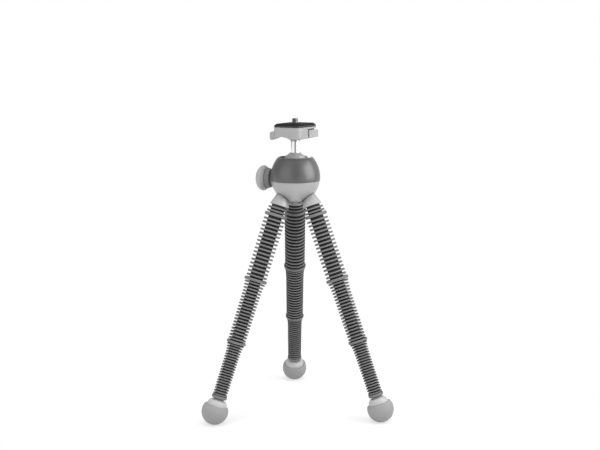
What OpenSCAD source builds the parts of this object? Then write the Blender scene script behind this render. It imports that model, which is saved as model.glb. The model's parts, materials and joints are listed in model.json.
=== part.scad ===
// Flexible leg tripod with a ball head. Three bendable ribbed legs stand in a cast hub under the
// ball head, and a quick release clamp on the ball's stem holds the camera plate.
// Millimetres, +Z up, with the origin on the floor under the middle of the head.

/* [Legs] */
// Lean of a straight leg from upright, in degrees
leg_splay = 20.7; // [16:0.1:26]
// Distance of a leg's root ring from the head's axis
root_r = 23.5; // [23:0.1:28]
// Hub socket's rim to root ring
neck_len = 10.8; // [9:0.1:12]
// Root ring to the first rib below it
root_step = 5.1; // [4:0.1:5.6]
// Root ring to upper collar
upper_len = 68.4; // [60:0.1:80]
// Upper collar to lower collar
middle_len = 65.7; // [58:0.1:76]
// Lower collar to bottom collar
lower_len = 57.2; // [50:0.1:66]
// Bottom collar to the middle of the foot ball
foot_drop = 15; // [14.5:0.1:18]
// Diameter of the bendable wire core
wire_d = 5.6; // [4:0.1:6.4]

/* [Ribs] */
// Ribs between the hub socket and the root ring
neck_ribs = 2; // [1:1:2]
// Ribs in the upper section
upper_ribs = 16; // [14:1:17]
// Ribs in the middle section
middle_ribs = 19; // [16:1:20]
// Ribs in the lower section
lower_ribs = 20; // [16:1:21]
// Diameter from which the neck's ribs grow towards the upper ribs
neck_rib_d = 18.8; // [15.6:0.1:19.8]
// Diameter of the upper ribs
upper_rib_d = 21.7; // [19:0.1:22.4]
// Diameter of the middle ribs
middle_rib_d = 18.7; // [16:0.1:19.4]
// Diameter of the lower ribs
lower_rib_d = 15.1; // [13:0.1:15.4]
// Thickness of the neck and upper ribs
upper_rib_h = 1.9; // [1.4:0.05:2.2]
// Thickness of the middle ribs
middle_rib_h = 1.6; // [1.2:0.05:1.9]
// Thickness of the lower ribs
lower_rib_h = 1.3; // [1:0.05:1.6]
// Chamfer on the edges of ribs, rings and collars
rib_edge = 0.35; // [0.1:0.05:0.45]
// Loss of rib diameter along each section
rib_taper = 0.8; // [0:0.1:1.2]
// Extra radius of the first rib below a collar
rib_flare = 1.1; // [0:0.1:1.4]
// Diameter of the rubber core between the upper ribs
upper_core_d = 14; // [12:0.1:15]
// Diameter of the rubber core between the middle ribs
middle_core_d = 11.7; // [10:0.1:13]
// Diameter of the rubber core between the lower ribs
lower_core_d = 10.3; // [9:0.1:11]
// Diameter of the root ring
root_ring_d = 23; // [22.2:0.1:24.5]
// Thickness of the root ring
root_ring_h = 3.2; // [2.4:0.1:3.6]
// Diameter of the upper collar
upper_collar_d = 23.4; // [22.2:0.1:24]
// Thickness of the upper collar
upper_collar_h = 3; // [2:0.1:3.2]
// Diameter of the lower collar
lower_collar_d = 19.9; // [18.4:0.1:20.5]
// Thickness of the lower collar
lower_collar_h = 2.6; // [1.8:0.1:2.8]
// Diameter of the bottom collar
bottom_collar_d = 15.6; // [15:0.1:17]
// Thickness of the bottom collar
bottom_collar_h = 3.4; // [2.4:0.1:3.6]

/* [Feet] */
// Diameter of the rubber foot ball
foot_d = 27; // [25:0.1:28]
// Wall of the rubber boot
boot_wall = 2.1; // [1.5:0.1:2.6]
// Height of the boot's lip above the middle of the ball
lip_up = 6; // [4:0.1:7]
// Diameter of the cap's neck under the bottom collar
cap_neck_d = 10.5; // [9:0.1:12]
// Straight length of that neck
cap_neck_l = 0.6; // [0.3:0.1:1]
// Diameter of the cap's shoulder at the boot's lip
cap_shoulder_d = 20.6; // [18:0.1:21]

/* [Hub] */
// Diameter of a leg socket's rim
socket_rim_d = 18.4; // [17.4:0.1:19.4]
// Diameter of a leg socket's upper end
socket_top_d = 9; // [7.5:0.1:11]
// Shift of a leg socket from the leg towards the head's axis
socket_in = 1; // [0:0.1:1.4]
// Length of a leg socket
socket_len = 11.6; // [10.5:0.1:13]
// Length of wire core inside a leg socket
wire_grip = 6.4; // [5.5:0.1:7.4]
// Diameter of the plug under the bowl
plug_d = 16; // [15:0.1:18]
// Thickness of the plug under the bowl
plug_h = 2.4; // [2.2:0.1:3]
// Metal left under the bolt in that plug
plug_skin = 1; // [0.6:0.1:1.4]
// Width of the arms from the plug to the leg sockets
arm_w = 8; // [6:0.1:10]
// Diameter of the spigot that locates the hub in the bowl
spigot_d = 14; // [12:0.1:16]
// Height of that spigot
spigot_h = 4.4; // [3:0.1:4.8]
// Diameter of the bolt that joins hub and bowl
bolt_d = 8; // [6:0.1:9]
// Diameter of that bolt's head
bolt_head_d = 13; // [11:0.1:13.6]
// Height of that bolt's head
bolt_head_h = 3; // [2:0.1:3.2]

/* [Ball housing] */
// Seam between bowl and shell, above the root rings
seam_up = 34.1; // [33.5:0.1:37]
// Step from the shell's outside in to the bowl's
bowl_step = 0.3; // [0.1:0.1:0.8]
// Depth of the bowl's full curve below the seam
bowl_depth = 23; // [22.6:0.1:24]
// Depth of the bowl's flat underside below the seam
bowl_floor = 21.2; // [20.8:0.1:22]
// Radius of the upper shell at its widest
shell_r = 25.3; // [24.8:0.1:26.4]
// Height of that widest part above the seam
bulge_up = 3; // [1:0.1:4]
// Height of the shell's rim above the seam
rim_up = 24; // [22.5:0.1:24.3]
// Outer radius of the shell's rim
rim_r = 17.5; // [15.9:0.1:18.4]
// Inner radius of the shell's mouth
mouth_r = 16; // [14.9:0.1:16.4]
// Radius of the skirt with which the shell sits in the bowl
skirt_r = 21.6; // [20.5:0.1:22.2]
// Depth of that skirt
skirt_h = 3; // [2:0.1:4]
// Way that the drop notch faces, in degrees from +X
notch_turn = 28.5; // [0:0.5:60]

/* [Ball and stem] */
// Middle of the ball above the seam
ball_up = 9.4; // [9.1:0.1:9.8]
// Radius of the ball
ball_r = 17.4; // [16.8:0.1:17.5]
// Wall of the ball's seat
seat_wall = 2.5; // [2:0.1:2.6]
// Height of the seat's lip above the middle of the ball
seat_lip = 5.5; // [4:0.1:6]
// Radius of the foot of the cone on the ball
cone_r = 9.85; // [8.5:0.05:9.9]
// Height of the straight band at the foot of that cone
cone_band = 1.2; // [0.5:0.1:2]
// Top of that cone above the middle of the ball
cone_up = 19.3; // [18.5:0.1:19.5]
// Radius of the stem
stem_r = 4.8; // [4:0.1:5]
// Top of the stem above the middle of the ball
stem_up = 31.4; // [30.4:0.1:36]
// Depth of the stem inside the cone and ball
stem_grip = 11; // [8:0.1:12]

/* [Lock knob] */
// Way that the knob faces, in degrees from +X
knob_turn = 158.5; // [150:0.5:180]
// Height of the knob's axis above the seam
knob_up = 1.4; // [1:0.1:2.4]
// Radius of the boss round the lock screw
boss_r = 7.5; // [6.6:0.1:8]
// Reach of that boss past the shell's widest part
boss_out = 0.5; // [0.2:0.1:0.7]
// Diameter of the lock screw
lock_d = 6; // [5:0.1:6.4]
// Diameter of the brake shoe
shoe_d = 8.8; // [7.5:0.1:9.4]
// Back of the brake shoe, from the head's axis
shoe_back = 22.4; // [22:0.1:22.8]
// Gap between brake shoe and seat when the knob is tight
shoe_gap = 0.1; // [0.05:0.05:0.2]
// Way that the brake shoe backs off when the knob is slack
shoe_travel = 0.75; // [0.5:0.05:0.8]
// Depth of the lock screw's tip in the brake shoe
tip_in = 0.6; // [0.4:0.1:0.8]
// Length of the lock screw in the cap's dome
lock_grip = 2; // [1:0.1:3]
// Diameter of the knob's domed cap
knob_d = 26; // [23:0.1:27]
// Diameter of the knob's grip ring beside the cap
grip_d = 21.8; // [19:0.1:22.6]
// Diameter of the grip ring at its inner end
grip_in_d = 18.4; // [16:0.1:19]
// Chamfer on the inner end of the grip ring
grip_edge = 0.7; // [0.3:0.1:1]
// Gap between the boss and the knob
knob_gap = 0.5; // [0.3:0.1:0.9]
// Length of the knob's grip ring
grip_len = 4.1; // [3.5:0.1:5]
// Width of the groove between grip ring and cap
groove_w = 0.5; // [0.3:0.1:0.8]
// Depth of that groove
groove_depth = 0.9; // [0.5:0.1:1.5]
// Step from the grip ring up to the cap beside the groove
cap_step = 0.2; // [0.1:0.1:0.4]
// Length of the cap's taper from the groove to its full width
cap_back = 3.7; // [3:0.1:4.5]
// Length of the cap's dome
cap_len = 7.4; // [6.5:0.1:8.5]

/* [Clamp] */
// Way that the clamp's button end faces, in degrees from +X
clamp_turn = -33.5; // [-60:0.5:0]
// Length of the clamp, lobe to button
clamp_l = 30; // [29:0.1:34]
// Depth of the clamp, front to back
clamp_w = 36; // [35:0.1:40]
// Height of the clamp
clamp_h = 11.8; // [11.5:0.1:13.5]
// Radius of the clamp's front corner beside the button
near_corner_r = 7; // [5:0.1:8]
// Radius of the clamp's and plate's other corners
corner_r = 3; // [2:0.1:4]
// Radius of the lobe at the end of the clamp
lobe_r = 8; // [6:0.1:9]
// Reach of the lobe past the clamp's end
lobe_out = 8.3; // [5:0.1:8.6]
// Distance of the lobe from the clamp's front
lobe_back = 1; // [0.5:0.1:3]
// Height of the lobe
lobe_h = 8.7; // [7.5:0.1:9.5]
// Drop of the lobe's foot below the clamp's underside
lobe_drop = 1.9; // [1:0.1:2.1]
// Rounding of the lobe's edges
lobe_edge = 2.3; // [1:0.1:3]
// Rise of the arch under the clamp
arch_rise = 2.6; // [1.5:0.1:2.8]
// Radius of the arch under the clamp
arch_r = 20.5; // [16:0.1:24]
// Middle of that arch, from the head's axis
arch_mid = 8; // [6.5:0.1:9.5]
// Radius of the boss round the top of the stem
stem_boss_r = 5.4; // [5.2:0.1:7]
// Height of that boss below the clamp
stem_boss_h = 2.2; // [2.1:0.1:3]
// Diameter of the screw that holds the clamp on the stem
clamp_screw_d = 4; // [3:0.1:4.6]
// Length of that screw in the stem
clamp_screw_grip = 10; // [7:0.1:12]
// Height of that screw's head
screw_head_h = 2.4; // [1.8:0.1:2.6]
// Front wall of the clamp that stops the plate
front_wall = 3; // [2:0.1:4]

/* [Release button] */
// Width of the button
button_w = 17.4; // [15:0.1:20]
// Height of the button
button_h = 7.8; // [7.2:0.1:8.2]
// Height of the button's foot above the clamp's underside
button_low = 0.6; // [0.4:0.1:0.8]
// Thickness of the button
button_t = 1.8; // [1.5:0.1:2]
// Way that the button stands out of the clamp's end
button_out = 0.1; // [0:0.1:1.1]
// Travel of the button
button_travel = 1.2; // [0.9:0.1:1.3]
// Room left behind the pressed button
button_room = 0.3; // [0.2:0.1:0.4]
// Gap above the button
button_gap = 1.3; // [0.5:0.1:1.4]
// Gap in front of the button
button_slot = 2.4; // [0.5:0.1:3]
// Reach of the button past the clamp's back
button_over = 2.4; // [0:0.1:3]
// Diameter of the button's latch pin
latch_d = 3; // [2.6:0.1:3.2]
// Height of the latch pin's foot above the plate's tongue's foot
latch_up = 0.6; // [0.5:0.1:0.8]
// Tip of the latch pin, from the head's axis
latch_tip = 8.9; // [8.8:0.1:9]
// Ribs on the button
button_ribs = 4; // [2:1:5]
// Height of each of those ribs
button_rib_h = 0.4; // [0.2:0.1:0.6]
// Margin of the button beside those ribs
button_margin = 2; // [1:0.1:3]
// Wire of the button's spring
spring_wire = 0.5; // [0.4:0.05:0.6]
// Turns of that spring
spring_turns = 2.5; // [2:0.5:3]
// Depth of that spring's seat behind the button's pocket
spring_seat = 1.4; // [1.2:0.1:1.8]

/* [Plate] */
// Thickness of the plate's flange
flange_h = 1.4; // [1:0.1:2]
// Thickness of the rubber pad
pad_h = 1.8; // [1.2:0.1:2.4]
// Margin of flange round the pad
pad_margin = 0.4; // [0.2:0.1:1]
// Half width of the tongue at its foot
tongue_foot = 10; // [9.8:0.1:10.3]
// Half width of the tongue under the flange
tongue_top = 8; // [7.6:0.1:8.4]
// Height of the tongue
tongue_h = 7.4; // [7.2:0.1:7.6]
// Travel of the plate to its safety stop
plate_travel = 12; // [6:0.5:13]
// Diameter of the camera screw's thread
thread_d = 6.35; // [6.3:0.05:6.4]
// Length of thread above the pad
thread_l = 5; // [4.5:0.1:5.5]
// Diameter of the camera screw's neck
neck_d = 5.2; // [4.5:0.1:5.4]
// Diameter of the camera screw's head
head_d = 12.6; // [10:0.1:13]
// Height of the camera screw's head
head_h = 2.6; // [2:0.1:3]
// Height of that head above the foot of the tongue
head_up = 0.9; // [0.5:0.1:1.2]
// Width of the slot in that head
slot_w = 1.2; // [0.8:0.1:1.6]
// Depth of that slot
slot_h = 1; // [0.6:0.1:1.4]

/* [Clearances] */
// Between pieces that are screwed or pressed together
fit_gap = 0.05; // [0.02:0.01:0.08]
// Between pieces that slide or turn on each other
slide_gap = 0.15; // [0.1:0.01:0.2]
// Beside the stem and the cone's foot in the drop notch
notch_gap = 1; // [0.4:0.1:1.6]

/* [Hidden] */
$fn = 64;
LEGS = ["rear", "left", "right"];
LEG_PIECES = [
    "wire_core", "root_bellows", "root_sleeve", "swing_bellows", "upper_sleeve", "knee_bellows",
    "middle_sleeve", "side_bellows", "shin_sleeve", "ankle_bellows", "lower_sleeve", "foot_cap", "foot_boot"
];
HEAD_PIECES = [
    "hub_casting", "hub_bolt", "lower_bowl", "upper_shell", "ball_seat", "pivot_ball",
    "stem_post", "brake_shoe", "lock_screw", "knob_grip", "knob_cap", "clamp_body", "clamp_screw",
    "release_button", "button_spring", "release_plate", "plate_pad", "camera_screw"
];

// Leg stations, measured down the leg from its root ring
upper_pitch = (upper_len - root_step) / upper_ribs;
middle_pitch = middle_len / (middle_ribs + 1);
lower_pitch = lower_len / (lower_ribs + 1);
neck_pitch = neck_len / (neck_ribs + 1);
upper_collar_t = upper_len;
lower_collar_t = upper_collar_t + middle_len;
bottom_collar_t = lower_collar_t + lower_len;
foot_t = bottom_collar_t + foot_drop;
foot_r = foot_d / 2;
leg_end = bottom_collar_t + bottom_collar_h / 2 + cap_neck_l;
wire_end = foot_t - lip_up;
wire_bore = wire_d / 2 + fit_gap;
// The swing and side bends lie on these ribs of the upper and middle sections
swing_rib = 5;
side_rib = 7;
// Half of a bend zone, in ribs
half_bend = 1.5;
swing_t = root_step + (swing_rib - 1) * upper_pitch;
side_t = upper_collar_t + side_rib * middle_pitch;
root_cut = root_step + upper_pitch / 2;
swing_cuts = [swing_t - half_bend * upper_pitch, swing_t + half_bend * upper_pitch];
knee_cuts = [upper_collar_t - half_bend * upper_pitch, upper_collar_t + half_bend * middle_pitch];
side_cuts = [side_t - half_bend * middle_pitch, side_t + half_bend * middle_pitch];
ankle_cuts = [lower_collar_t - half_bend * middle_pitch, lower_collar_t + half_bend * lower_pitch];
// Share of the flare that each rib keeps of the rib above
flare_fade = 0.45;
// Part of the boot's outside that its chamfered lip takes, in degrees
lip_round = 4;

// Heights above the floor
root_z = foot_r + foot_t * cos(leg_splay);
seam_z = root_z + seam_up;
floor_z = seam_z - bowl_floor;
ball_z = seam_z + ball_up;
rim_z = seam_z + rim_up;
knob_z = seam_z + knob_up;
stem_top = ball_z + stem_up;
clamp_z = stem_top + stem_boss_h;
clamp_top = clamp_z + clamp_h;
channel_z = clamp_top - tongue_h;
flange_z = clamp_top + slide_gap;
flange_mid = flange_z + flange_h / 2;
pad_z = flange_z + flange_h;
pad_top = pad_z + pad_h;

// Ball housing
seat_in = ball_r + slide_gap;
seat_out = seat_in + seat_wall;
cavity_r = seat_out + slide_gap;
bowl_r = shell_r - bowl_step;
low_depth = bowl_depth + bulge_up;
shell_depth = (rim_up - bulge_up) / sqrt(1 - pow(rim_r / shell_r, 2));
cone_base = sqrt(pow(ball_r, 2) - pow(cone_r, 2));
stem_foot = ball_z + cone_up - stem_grip;
bolt_seat = cavity_r - ball_up + bolt_head_h;
well_z = seam_z - bolt_seat;
bolt_foot = floor_z - plug_h + plug_skin;
notch_r = stem_r + notch_gap;
seat_notch_r = cone_r + notch_gap;
// Reach and overrun of cutting shapes
far = 60;
over = 1;

// Brake shoe and lock screw
screw_shoulder = shoe_back + shoe_travel + slide_gap;
tip_d = shoe_d / 2;
tip_end = shoe_back - tip_in;
recess_end = tip_end - shoe_travel - slide_gap;
boss_end = shell_r + boss_out;
knob_in = boss_end + knob_gap;
knob_mid = knob_in + grip_len;
cap_in = knob_mid + groove_w;
cap_mid = cap_in + cap_back;
lock_end = cap_mid + lock_grip;

// Clamp, button and plate
button_in = clamp_l / 2 + button_out - button_t;
pocket_x = button_in - button_travel - button_room;
button_back = clamp_w / 2 + button_over;
button_front = button_back - button_w;
button_z = clamp_z + button_low;
latch_y = button_back - button_w / 2;
latch_z = channel_z + latch_up + latch_d / 2;
spring_r = latch_d / 2 + spring_wire + slide_gap;
spring_pocket_r = spring_r + spring_wire;
spring_foot = pocket_x - spring_seat;
latch_groove = latch_tip - button_travel - button_room;
head_z = channel_z + head_up;
head_recess_z = head_z + head_h + slide_gap;
screw_head_d = 2 * clamp_screw_d;
screw_seat = channel_z - slide_gap - screw_head_h;

// A run of points on an arc
function arc(mid, r, from, to, steps = 8) =
    [for (i = [0:steps]) let (a = from + (to - from) * i / steps) mid + r * [cos(a), sin(a)]];

// A rectangle's outline with its own radius at each corner, front left first and going round
function rounded(x0, y0, x1, y1, radii) = concat(
    arc([x0 + radii[0], y0 + radii[0]], radii[0], 180, 270),
    arc([x1 - radii[1], y0 + radii[1]], radii[1], 270, 360),
    arc([x1 - radii[2], y1 - radii[2]], radii[2], 0, 90),
    arc([x0 + radii[3], y1 - radii[3]], radii[3], 90, 180)
);

// Half profile of an oval of half width a and half height b, between two angles from its equator
function oval(a, b, from, to, steps = 20) =
    [for (i = [0:steps]) let (turn = from + (to - from) * i / steps) [a * cos(turn), b * sin(turn)]];

// Ribs of one section from its first station, each as its station, radius and thickness
function section(first, count, pitch, d, h, flare) = [
    for (k = [1:count]) [
        first + (k - 1) * pitch,
        d / 2 + rib_taper * (0.25 - 0.5 * k / count) + flare * pow(flare_fade, k - 1),
        h
    ]
];
ribs = concat(
    [for (k = [1:neck_ribs])
        [(k - neck_ribs - 1) * neck_pitch,
         (neck_rib_d + (upper_rib_d - neck_rib_d) * k / (neck_ribs + 1)) / 2, upper_rib_h]],
    [[0, root_ring_d / 2, root_ring_h]],
    section(root_step, upper_ribs, upper_pitch, upper_rib_d, upper_rib_h, 0),
    [[upper_collar_t, upper_collar_d / 2, upper_collar_h]],
    section(upper_collar_t + middle_pitch, middle_ribs, middle_pitch, middle_rib_d, middle_rib_h, rib_flare),
    [[lower_collar_t, lower_collar_d / 2, lower_collar_h]],
    section(lower_collar_t + lower_pitch, lower_ribs, lower_pitch, lower_rib_d, lower_rib_h, rib_flare),
    [[bottom_collar_t, bottom_collar_d / 2, bottom_collar_h]]
);

// Radius of the rubber core at a station
function core_r(t) =
    (t < upper_collar_t ? upper_core_d : t < lower_collar_t ? middle_core_d : lower_core_d) / 2;

function rib_points(rib) = let (low = rib[0] - rib[2] / 2, high = rib[0] + rib[2] / 2, r = rib[1]) [
    [core_r(low), low], [r - rib_edge, low], [r, low + rib_edge],
    [r, high - rib_edge], [r - rib_edge, high], [core_r(high), high]
];

// Half profile of the rubber skin from one station to another
function skin_points(from, to) = concat(
    [[wire_bore, from], [core_r(from), from]],
    [for (rib = ribs) if (rib[0] > from && rib[0] < to) each rib_points(rib)],
    [[core_r(to), to], [wire_bore, to]]
);

// Half profile of the bowl's outside, grown by a gap
function bowl_points(gap = 0) = let (low = bowl_floor + bulge_up + gap, b = low_depth + gap) concat(
    [[0, 0]],
    [for (p = oval(bowl_r + gap, b, -asin(bulge_up / b), -asin(low / b))) p + [0, bulge_up]],
    [[0, bulge_up - low]]
);

// Half profile of the shell's outside, from the seam to its widest part and on to the rim
function shell_points() = let (steps = 20, rim_turn = asin((rim_up - bulge_up) / shell_depth)) [
    for (p = concat(
        oval(shell_r, low_depth, -asin(bulge_up / low_depth), 0, 4),
        oval(shell_r, shell_depth, rim_turn / steps, rim_turn, steps - 1)
    )) p + [0, bulge_up]
];

// Cross section of the plate's tongue with its root in the flange, grown by a gap
function tongue_points(gap = 0) = [
    [-tongue_foot - gap, channel_z - gap], [tongue_foot + gap, channel_z - gap],
    [tongue_top + gap, flange_z], [tongue_top + gap, flange_mid],
    [-tongue_top - gap, flange_mid], [-tongue_top - gap, flange_z]
];

// Outline of the clamp and of the plate on it, drawn in by a margin
function plan(margin = 0) = let (x = clamp_l / 2 - margin, y = clamp_w / 2 - margin)
    rounded(-x, -y, x, y, [corner_r, near_corner_r, corner_r, corner_r]);

// Way that a leg faces, in degrees from +X
function leg_turn(leg) = 90 + 120 * search([leg], LEGS)[0];

// Place a child on a leg, with its origin at the root ring and +Z down the leg
module on_leg(leg) {
    rotate([0, 0, leg_turn(leg)]) translate([root_r, 0, root_z])
        rotate([0, 180 - leg_splay, 0]) children();
}

// Place a child with its +Z along the lock knob's axis
module on_knob() {
    rotate([0, 0, knob_turn]) translate([0, 0, knob_z]) rotate([0, 90, 0]) children();
}

// Place a child with its +X towards the clamp's button
module on_clamp() {
    rotate([0, 0, clamp_turn]) children();
}

// A helical spring along +Z, as one swept tube
module coil(r, wire, turns, height) {
    sides = 6;
    rings = 16 * turns;
    points = [
        for (i = [0:rings]) for (j = [0:sides - 1])
            let (a = 360 * turns * i / rings, b = 360 * j / sides, reach = r + wire / 2 * cos(b))
            [reach * cos(a), reach * sin(a), wire / 2 + (height - wire) * i / rings + wire / 2 * sin(b)]
    ];
    walls = [
        for (i = [0:rings - 1]) for (j = [0:sides - 1])
            let (p = i * sides + j, q = i * sides + (j + 1) % sides)
            each [[p, p + sides, q], [q, p + sides, q + sides]]
    ];
    ends = [
        for (j = [1:sides - 2])
            each [[0, j, j + 1], [rings * sides, rings * sides + j + 1, rings * sides + j]]
    ];
    polyhedron(points, concat(walls, ends));
}

module skin(leg, from, to) {
    on_leg(leg) rotate_extrude() polygon(skin_points(from, to));
}

module root_bellows(leg) { color("dimgray") skin(leg, -neck_len, root_cut); }
module root_sleeve(leg) { color("dimgray") skin(leg, root_cut, swing_cuts[0]); }
module swing_bellows(leg) { color("dimgray") skin(leg, swing_cuts[0], swing_cuts[1]); }
module upper_sleeve(leg) { color("dimgray") skin(leg, swing_cuts[1], knee_cuts[0]); }
module knee_bellows(leg) { color("dimgray") skin(leg, knee_cuts[0], knee_cuts[1]); }
module middle_sleeve(leg) { color("dimgray") skin(leg, knee_cuts[1], side_cuts[0]); }
module side_bellows(leg) { color("dimgray") skin(leg, side_cuts[0], side_cuts[1]); }
module shin_sleeve(leg) { color("dimgray") skin(leg, side_cuts[1], ankle_cuts[0]); }
module ankle_bellows(leg) { color("dimgray") skin(leg, ankle_cuts[0], ankle_cuts[1]); }
module lower_sleeve(leg) { color("dimgray") skin(leg, ankle_cuts[1], leg_end); }

module wire_core(leg) {
    color("silver") on_leg(leg)
        translate([0, 0, -neck_len - wire_grip]) cylinder(d = wire_d, h = neck_len + wire_grip + wire_end);
}

// Hard body of the foot, grown by a gap where the boot goes over it
module foot_form(gap = 0) {
    cap_r = foot_r - boot_wall + gap;
    shoulder = cap_shoulder_d / 2 + gap;
    neck = cap_neck_d / 2;
    dome_t = foot_t - lip_up;
    rise = dome_t - leg_end;
    translate([0, 0, foot_t]) sphere(r = cap_r);
    shoulder_h = lip_up - sqrt(pow(cap_r, 2) - pow(shoulder, 2));
    translate([0, 0, dome_t]) cylinder(r = shoulder, h = shoulder_h);
    translate([0, 0, dome_t]) rotate_extrude() polygon(concat(
        [[0, 0]],
        [for (a = [90:-9:0]) [neck + (shoulder - neck) * sin(a), -(rise - cap_neck_l) * cos(a)]],
        [[neck, -rise], [0, -rise]]
    ));
}

module foot_cap(leg) {
    color("gainsboro") on_leg(leg) difference() {
        foot_form();
        cylinder(r = wire_bore, h = wire_end + fit_gap);
    }
}

module foot_boot(leg) {
    plug = foot_r - boot_wall + fit_gap;
    shoulder = cap_shoulder_d / 2 + fit_gap;
    lip = sqrt(pow(foot_r, 2) - pow(lip_up, 2));
    color("darkgray") on_leg(leg) translate([0, 0, foot_t]) rotate_extrude() polygon(concat(
        [[shoulder, -lip_up], [lip, -lip_up]],
        arc([0, 0], foot_r, lip_round - asin(lip_up / foot_r), 90, 24),
        arc([0, 0], plug, 90, -acos(shoulder / plug), 24)
    ));
}

module hub_casting() {
    arm_l = root_r - neck_len * sin(leg_splay) - socket_in * cos(leg_splay) - socket_rim_d / 4;
    color("lightgray") difference() {
        union() {
            difference() {
                union() {
                    translate([0, 0, floor_z - plug_h]) cylinder(d = plug_d, h = 2 * plug_h);
                    for (leg = LEGS) {
                        on_leg(leg) translate([socket_in, 0, -neck_len - socket_len])
                            cylinder(d1 = socket_top_d, d2 = socket_rim_d, h = socket_len);
                        rotate([0, 0, leg_turn(leg)]) translate([0, -arm_w / 2, floor_z - plug_h])
                            cube([arm_l, arm_w, 2 * plug_h]);
                    }
                }
                translate([0, 0, seam_z]) rotate_extrude() polygon(bowl_points(fit_gap));
            }
            translate([0, 0, floor_z - plug_h]) cylinder(d = spigot_d, h = plug_h + spigot_h);
        }
        for (leg = LEGS) on_leg(leg)
            translate([0, 0, -neck_len - wire_grip - fit_gap]) cylinder(r = wire_bore, h = far);
        translate([0, 0, bolt_foot]) cylinder(d = bolt_d + 2 * fit_gap, h = far);
    }
}

module hub_bolt() {
    color("gray") {
        translate([0, 0, bolt_foot + fit_gap]) cylinder(d = bolt_d, h = well_z - bolt_foot);
        translate([0, 0, well_z + fit_gap]) cylinder(d = bolt_head_d, h = bolt_head_h - slide_gap);
    }
}

module lower_bowl() {
    boss_in = cavity_r / 2;
    color("darkgray") difference() {
        union() {
            difference() {
                translate([0, 0, seam_z]) rotate_extrude() polygon(bowl_points());
                translate([0, 0, seam_z - skirt_h - fit_gap]) cylinder(r = skirt_r + fit_gap, h = far);
            }
            on_knob() translate([0, 0, boss_in]) cylinder(r = boss_r, h = boss_end - boss_in);
        }
        translate([0, 0, ball_z]) sphere(r = cavity_r);
        translate([0, 0, well_z]) cylinder(d = bolt_head_d + 2 * slide_gap, h = ball_z - well_z);
        translate([0, 0, floor_z - over]) cylinder(d = bolt_d + 2 * fit_gap, h = ball_z - floor_z);
        translate([0, 0, floor_z - over])
            cylinder(d = spigot_d + 2 * fit_gap, h = spigot_h + fit_gap + over);
        on_knob() cylinder(d = shoe_d + 2 * slide_gap, h = screw_shoulder);
        on_knob() cylinder(d = lock_d + 2 * fit_gap, h = far);
    }
}

module upper_shell() {
    color("dimgray") difference() {
        translate([0, 0, seam_z]) rotate_extrude() polygon(concat(
            [[0, -skirt_h], [skirt_r, -skirt_h], [skirt_r, 0]],
            shell_points(),
            [[0, rim_up]]
        ));
        translate([0, 0, ball_z]) sphere(r = cavity_r);
        translate([0, 0, ball_z]) cylinder(r = mouth_r, h = far);
        on_knob() cylinder(r = boss_r + fit_gap, h = far);
        rotate([0, 0, notch_turn]) translate([0, -notch_r, seam_z - skirt_h - over])
            cube([far, 2 * notch_r, far]);
    }
}

module ball_seat() {
    color("white") difference() {
        translate([0, 0, ball_z]) sphere(r = seat_out);
        translate([0, 0, ball_z]) sphere(r = seat_in);
        translate([0, 0, ball_z + seat_lip]) cylinder(r = far, h = far);
        rotate([0, 0, notch_turn]) translate([0, 0, ball_z]) {
            rotate([0, 90, 0]) cylinder(r = seat_notch_r, h = far);
            translate([0, -seat_notch_r, 0]) cube([far, 2 * seat_notch_r, far]);
        }
    }
}

module pivot_ball() {
    color("silver") difference() {
        union() {
            translate([0, 0, ball_z]) sphere(r = ball_r);
            translate([0, 0, ball_z + cone_base - over]) cylinder(r = cone_r, h = cone_band + over);
            translate([0, 0, ball_z + cone_base + cone_band])
                cylinder(r1 = cone_r, r2 = stem_r + 2 * fit_gap, h = cone_up - cone_base - cone_band);
        }
        translate([0, 0, stem_foot - slide_gap]) cylinder(r = stem_r + fit_gap, h = far);
    }
}

module stem_post() {
    color("whitesmoke") difference() {
        translate([0, 0, stem_foot]) cylinder(r = stem_r, h = stem_top - stem_foot);
        translate([0, 0, stem_top - clamp_screw_grip - over])
            cylinder(d = clamp_screw_d + 2 * fit_gap, h = far);
    }
}

module brake_shoe() {
    color("goldenrod") difference() {
        on_knob() cylinder(d = shoe_d, h = shoe_back);
        translate([0, 0, ball_z]) sphere(r = seat_out + shoe_gap);
        on_knob() translate([0, 0, recess_end]) cylinder(d = tip_d + 2 * slide_gap, h = far);
    }
}

module lock_screw() {
    color("gray") on_knob() {
        translate([0, 0, tip_end]) cylinder(d = tip_d, h = screw_shoulder - tip_end + over);
        translate([0, 0, screw_shoulder + slide_gap])
            cylinder(d = lock_d, h = lock_end - screw_shoulder - slide_gap);
    }
}

module knob_grip() {
    core = grip_d / 2 - groove_depth;
    color("gray") on_knob() difference() {
        rotate_extrude() polygon([
            [0, knob_in], [grip_in_d / 2 - grip_edge, knob_in], [grip_in_d / 2, knob_in + grip_edge],
            [grip_d / 2, knob_mid], [core, knob_mid], [core, cap_in], [0, cap_in]
        ]);
        cylinder(d = lock_d + 2 * fit_gap, h = far);
    }
}

module knob_cap() {
    r = knob_d / 2;
    r_in = grip_d / 2 + cap_step;
    color("darkgray") on_knob() difference() {
        rotate_extrude() polygon(concat(
            [[0, cap_in], [r_in, cap_in]],
            [for (a = [20:14:76]) [r_in + (r - r_in) * sin(a), cap_in + cap_back * a / 90]],
            [for (p = oval(r, cap_len, 0, 90, 16)) p + [0, cap_mid]]
        ));
        cylinder(d = lock_d + 2 * fit_gap, h = lock_end + fit_gap);
    }
}

// The plate's tongue or the clamp's channel for it, from one place to another across the clamp
module tongue(from, to, gap = 0) {
    translate([0, to, 0]) rotate([90, 0, 0])
        linear_extrude(to - from) polygon(tongue_points(gap));
}

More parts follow.
